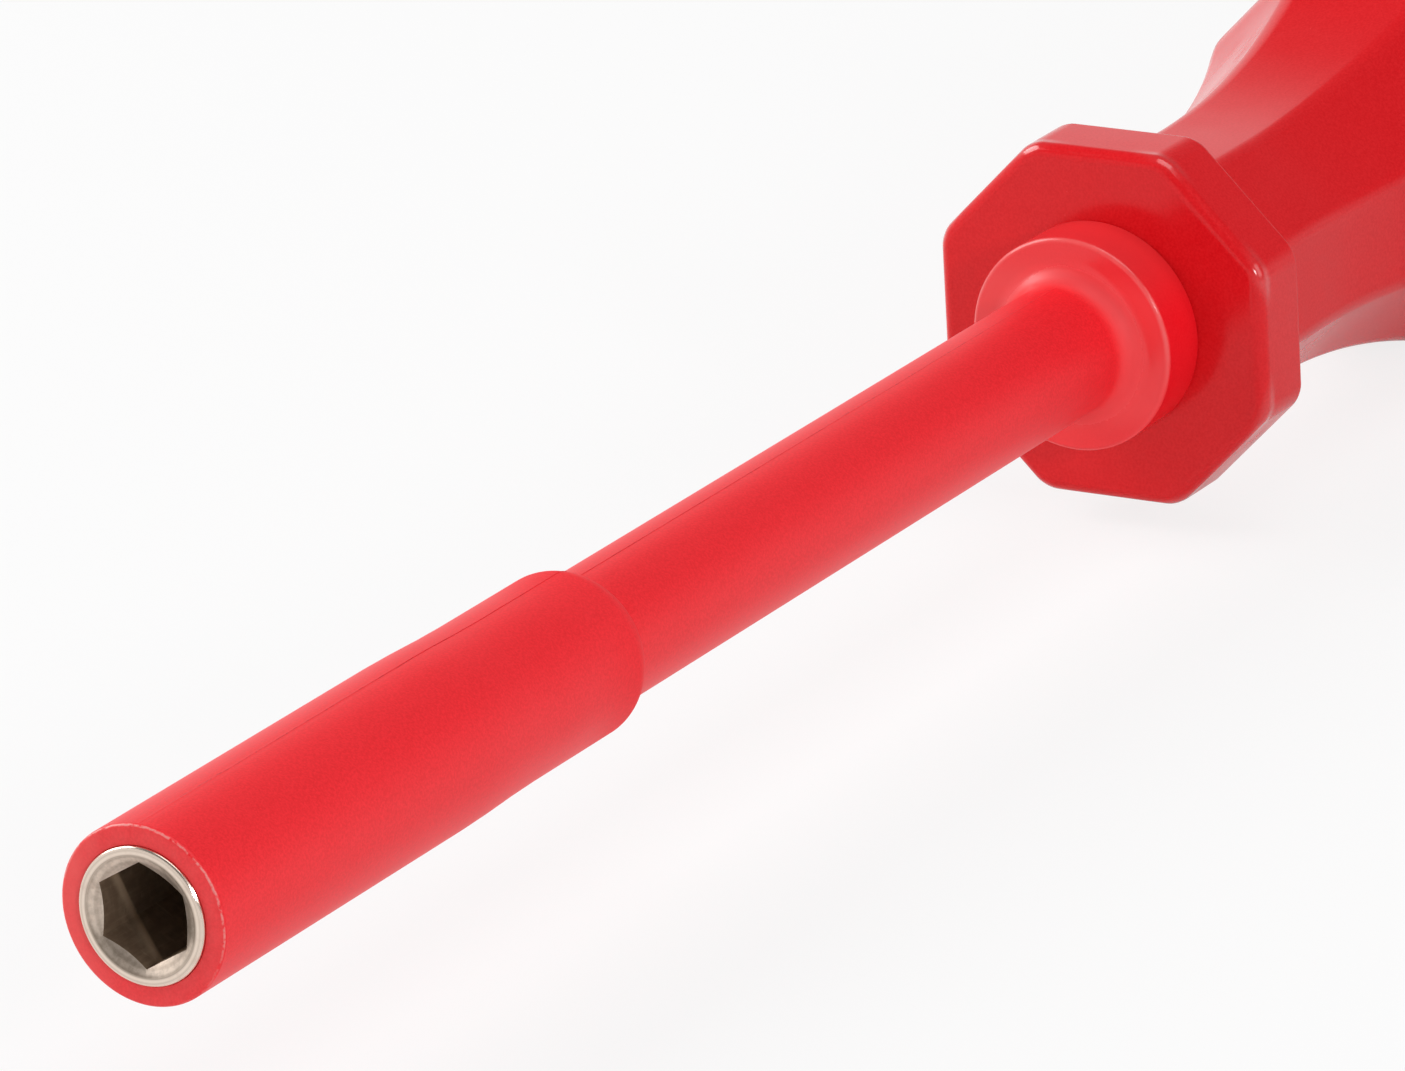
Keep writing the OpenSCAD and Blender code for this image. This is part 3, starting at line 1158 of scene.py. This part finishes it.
@dataclass
class Handle:
    """Octagonal handle with its guard, neck, hollow flare, body and domed butt."""

    front: float = 129.25
    sides: int = 8
    guard_af: float = 26.9
    guard_t: float = 6.0
    guard_round: float = 1.0
    guard_rear_round: float = 0.5
    neck_af: float = 19.2
    neck_end: float = 17.8
    neck_root_round: float = 0.8
    flare_r: float = 75.0
    body_af: float = 31.0
    body_corner_r: float = 16.475
    crest_soft: float = 1.0
    length: float = 112.0
    butt_round: float = 8.0
    dome_r: float = 60.0
    corner_cut: float = 1.0
    spigot_r: float = 4.95
    spigot_len: float = 20.0
    tang_r: float = 3.5
    tang_len: float = 72.0
    flat_cuts: int = 7
    flare_limit: float = 0.99
    neck_rings: Span = (3.0, 4.0)
    flare_step: float = 1.2
    flare_rings: int = 30
    body_rings: Span = (34.0, 10.0)
    butt_rings: int = 26
    crease_deg: float = 32.0

    def width_at(self, x: float) -> float:
        """Finds the width across flats of the flare and the body.

        Args:
            x: The distance from the guard's front.

        Returns:
            The width there.
        """
        run = min(x - self.neck_end, self.flare_r * self.flare_limit)
        flare = self.neck_af + 2 * (self.flare_r - math.sqrt(self.flare_r**2 - run**2))
        share = min(1.0, max(0.0, 0.5 + 0.5 * (self.body_af - flare) / self.crest_soft))
        low = self.body_af + (flare - self.body_af) * share
        return low - self.crest_soft * share * (1 - share)

    def butt_at(self, radius: float) -> float:
        """Finds how far the butt's surface is from the guard's front.

        Args:
            radius: The distance from the axis.

        Returns:
            The distance along the axis.
        """
        inner = self.body_corner_r - self.butt_round
        edge = self.length
        if radius > inner:
            bend = math.sqrt(max(0.0, self.butt_round**2 - (radius - inner) ** 2))
            edge = self.length - self.butt_round + bend
        dome = self.length - self.dome_r + math.sqrt(self.dome_r**2 - radius**2)
        return min(edge, dome)

    def octagon(self, work: Workpiece) -> Edges:
        """Draws the guard's octagon with rounded corners and divided flats.

        Args:
            work: The mesh it is drawn in.

        Returns:
            Edges of the loop, at the guard's front.
        """
        turn = TO_AXIS @ Matrix.Rotation(math.pi / self.sides, 4, "Z")
        place = Matrix.Translation((self.front, 0.0, 0.0)) @ turn
        radius = self.guard_af / 2 / math.cos(math.pi / self.sides)
        bmesh.ops.create_circle(
            work.bm, cap_ends=True, segments=self.sides, radius=radius, matrix=place
        )
        work.round(work.bm.verts[:], self.corner_cut, 6, Bevel.CORNERS)
        flats = [e for e in work.bm.edges if e.calc_length() > self.guard_af / self.sides]
        bmesh.ops.subdivide_edges(work.bm, edges=flats, cuts=self.flat_cuts)
        bmesh.ops.delete(work.bm, geom=work.bm.faces[:], context="FACES_ONLY")
        return work.bm.edges[:]

    def outside(self, work: Workpiece, loop: Edges) -> tuple[Edges, Edges, Edges]:
        """Extrudes the handle from the guard's front to the butt.

        Args:
            work: The mesh.
            loop: The guard's front loop.

        Returns:
            The loops of the guard's rear edge, of the neck's root and of the butt's end.
        """
        rear = work.extend(loop, self.guard_t)
        root = work.extend(rear, 0.0, self.neck_af / self.guard_af)
        here, width, ring = self.guard_t, self.neck_af, root
        first, last = self.neck_rings
        straight = [self.guard_t + first, self.neck_end - last, self.neck_end]
        flare = [self.neck_end + self.flare_step * k for k in range(1, self.flare_rings + 1)]
        body_end = self.length - self.butt_round
        for x in straight + flare + [body_end - gap for gap in self.body_rings] + [body_end]:
            new_width = self.neck_af if x <= self.neck_end else self.width_at(x)
            ring = work.extend(ring, x - here, new_width / width)
            here, width = x, new_width
        for k in range(1, self.butt_rings + 1):
            radius = self.body_corner_r * math.cos(math.pi / 2 * k / (self.butt_rings + 1))
            x = self.butt_at(radius)
            ring = work.extend(ring, x - here)
            for vert in {v for e in ring for v in e.verts}:
                shrink = min(1.0, radius / math.hypot(vert.co.y, vert.co.z))
                vert.co.y, vert.co.z = vert.co.y * shrink, vert.co.z * shrink
            here = x
        return rear, root, ring

    def inside(self, work: Workpiece, loop: Edges) -> None:
        """Bores the handle for the spigot and the tang, from the guard's front loop.

        Args:
            work: The mesh.
            loop: The guard's front loop.
        """
        place = Matrix.Translation((self.front, 0.0, 0.0)) @ TO_AXIS
        made = bmesh.ops.create_circle(
            work.bm, segments=len(loop), radius=self.spigot_r, matrix=place
        )
        ring = list({e for v in made["verts"] for e in v.link_edges})
        bmesh.ops.bridge_loops(work.bm, edges=list(loop) + ring)
        ring = work.extend(ring, self.spigot_len)
        ring = work.extend(ring, 0.0, self.tang_r / self.spigot_r)
        ring = work.extend(ring, self.tang_len - self.spigot_len)
        bmesh.ops.edgeloop_fill(work.bm, edges=ring)

    def build(self) -> None:
        """Extrudes, bores and rounds the handle and dresses it."""
        work = Workpiece()
        loop = self.octagon(work)
        rear, root, end = self.outside(work, loop)
        self.inside(work, loop)
        bmesh.ops.edgeloop_fill(work.bm, edges=end)
        work.round(list(loop), self.guard_round, 6)
        work.round([e for e in rear if e.is_valid], self.guard_rear_round)
        work.round([e for e in root if e.is_valid], self.neck_root_round)
        piece = show(work.mesh("handle_moulding"), [GlossPlastic("handle_red")], self.crease_deg)
        fit(piece, Body.TOOL, "handle_body")


@dataclass(frozen=True)
class Lamp:
    """A soft rectangular lamp at a place, aimed at a point, in metres and watts."""

    name: str
    place: Point
    size: Span
    power: float
    aim: Point = (0.08, 0.0, 0.0)

    def build(self) -> None:
        """Hangs the lamp."""
        data = bpy.data.lights.new(self.name, "AREA")
        data.shape, data.energy = "RECTANGLE", self.power
        data.size, data.size_y = self.size
        lamp = bpy.data.objects.new(self.name, data)
        lamp.location = self.place
        lamp.rotation_mode = "QUATERNION"
        lamp.rotation_quaternion = (Vector(self.aim) - Vector(self.place)).to_track_quat("-Z", "Y")
        bpy.context.scene.collection.objects.link(lamp)


@dataclass
class Studio:
    """Pale floor, bright horizon, soft lamps and the photograph's camera."""

    floor_z: float = -15.52
    floor_size: float = 3.0
    horizon: Span = (0.20, 0.50)
    lean: float = 0.35
    glow: float = 0.80
    sky: float = 0.22
    camera_place: Point = (-561.8, -387.2, 259.2)
    camera_right: Point = (0.504715, -0.861595, -0.054023)
    camera_up: Point = (0.308115, 0.121327, 0.943582)
    camera_back: Point = (-0.806429, -0.492885, 0.326706)
    focal_px: float = 11360.76
    photo_px: float = 1405.0
    sensor: float = 36.0
    clip_m: Span = (0.01, 50.0)
    lamps: tuple[Lamp, ...] = (
        Lamp("left_softbox", (-0.05, 0.68, 0.49), (0.55, 0.50), 4.2),
        Lamp("right_lamp", (-0.36, -0.74, 0.33), (0.12, 0.12), 1.75),
        Lamp("overhead_softbox", (0.10, -0.25, 0.95), (0.70, 0.70), 3.1),
        Lamp("right_softbox", (0.15, -0.95, 0.45), (0.60, 0.60), 1.7),
    )

    def floor(self) -> None:
        """Lays the floor under the handle's lowest flat."""
        bm = bmesh.new()
        bmesh.ops.create_grid(bm, x_segments=2, y_segments=2, size=self.floor_size)
        bmesh.ops.translate(bm, verts=bm.verts[:], vec=(0.0, 0.0, self.floor_z * MM))
        mesh = bpy.data.meshes.new("studio_floor")
        bm.to_mesh(mesh)
        bm.free()
        mesh.materials.append(StudioFloor("floor_paper").material())
        floor = bpy.data.objects.new("studio_floor", mesh)
        bpy.context.scene.collection.objects.link(floor)

    def world(self) -> None:
        """Makes the room: white near the horizon, higher up on its left, and darker above."""
        world = bpy.data.worlds.new("studio")
        world.use_nodes = True
        bpy.context.scene.world = world
        shader = Shader(world.node_tree)
        _, side, height = shader.parts(shader.node("ShaderNodeTexCoord", output="Generated"))
        level = shader.fade(height - side * self.lean, *self.horizon, self.glow, self.sky)
        inputs = {"Color": (1.0, 1.0, 1.0), "Strength": level}
        room = shader.node("ShaderNodeBackground", inputs)
        shader.node("ShaderNodeOutputWorld", {"Surface": room})

    def camera(self) -> None:
        """Puts the camera where the photograph was taken from."""
        data = bpy.data.cameras.new("camera")
        data.sensor_fit, data.sensor_width = "HORIZONTAL", self.sensor
        data.lens = self.sensor * self.focal_px / self.photo_px
        data.clip_start, data.clip_end = self.clip_m
        camera = bpy.data.objects.new("camera", data)
        axes = Matrix((self.camera_right, self.camera_up, self.camera_back)).transposed().to_4x4()
        camera.matrix_world = Matrix.Translation(Vector(self.camera_place) * MM) @ axes
        bpy.context.scene.collection.objects.link(camera)
        bpy.context.scene.camera = camera

    def build(self) -> None:
        """Sets up the studio."""
        bpy.context.scene.view_settings.view_transform = "Standard"
        self.floor()
        self.world()
        for lamp in self.lamps:
            lamp.build()
        self.camera()
        log.info("studio: floor, room, %d lamps and camera", len(self.lamps))


def main() -> None:
    """Builds the studio and every piece of the tool."""
    logging.basicConfig(level=logging.INFO, format="%(name)s: %(message)s")
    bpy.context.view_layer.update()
    Studio().build()
    BitSocket().build()
    Retention().build()
    Insulation().build()
    Handle().build()


if __name__ == "__main__":
    main()
